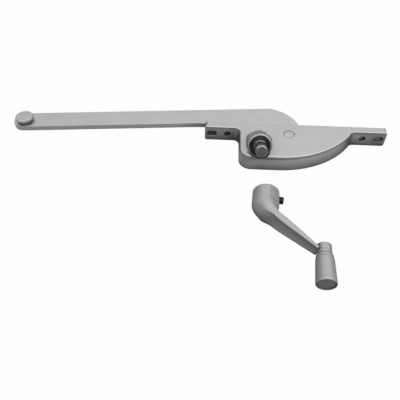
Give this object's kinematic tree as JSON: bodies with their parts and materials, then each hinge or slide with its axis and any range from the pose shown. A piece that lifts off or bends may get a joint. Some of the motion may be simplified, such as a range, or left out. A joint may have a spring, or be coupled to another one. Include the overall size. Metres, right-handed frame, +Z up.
{
  "type": "casement window operator",
  "caption": "Single-arm casement window operator: a teardrop worm-gear housing with a long toothed arm and slider stud, a splined spindle, and a loose crank handle.",
  "frame": {"origin": "middle of the four screw holes, on the mounting (back) face", "axes": "+X along the housing, +Y out through the window, +Z up, away from the surface under the housing"},
  "size_m": [0.3235, 0.1814, 0.0316],
  "materials": {
    "housing_paint": "satin silver-grey paint on a die casting",
    "arm_steel": "satin zinc plated",
    "spindle_steel": "bright machined",
    "plated_steel": "zinc plated",
    "dark_steel": "black oxide",
    "bronze": "sintered bronze",
    "crank_paint": "satin silver-grey paint on a die casting",
    "cap_plastic": "moulded, matt"
  },
  "bodies": {
    "base": {"housing": "housing_paint", "base_plate": "plated_steel", "base_rivets": "plated_steel", "pivot_pin": "plated_steel", "lower_spacer": "plated_steel", "upper_washer": "plated_steel", "spindle_washer": "plated_steel", "front_bush": "dark_steel", "retaining_ring": "dark_steel", "rear_bush": "bronze"},
    "arm": {"arm": "arm_steel", "arm_bush": "bronze", "arm_stud": "arm_steel"},
    "spindle": {"spindle": "spindle_steel"},
    "crank": {"crank_body": "crank_paint", "knob_pin": "plated_steel", "knob_washer": "plated_steel"},
    "set_screw": {"set_screw": "dark_steel"},
    "knob": {"knob": "crank_paint", "knob_cap": "cap_plastic"}
  },
  "joints": [
    {"name": "arm_swing", "type": "hinge", "parent": "base", "child": "arm", "pos_m": [-0.006, -0.013, 0], "axis": [0, 0, -1], "range_deg": [0, 95]},
    {"name": "spindle_turn", "type": "hinge", "parent": "base", "child": "spindle", "pos_m": [-0.0316, -0.013, 0.00065], "axis": [0, -0.8862, 0.4633], "range_deg": [0, 3135]},
    {"name": "crank_lift", "type": "slide", "parent": "base", "child": "crank", "axis": [0, 0, 1], "range_m": [0, 0.12]},
    {"name": "set_screw_travel", "type": "slide", "parent": "crank", "child": "set_screw", "axis": [-0.9946, 0.0748, 0.0715], "range_m": [-0.003, 0.0023]},
    {"name": "knob_spin", "type": "hinge", "parent": "crank", "child": "knob", "pos_m": [0.00968, -0.14006, -0.00014], "axis": [-0.075, -0.9972, 0], "continuous": true}
  ],
  "couplings": [
    {"joint": "spindle_turn", "follows": "arm_swing", "ratio": 33}
  ]
}
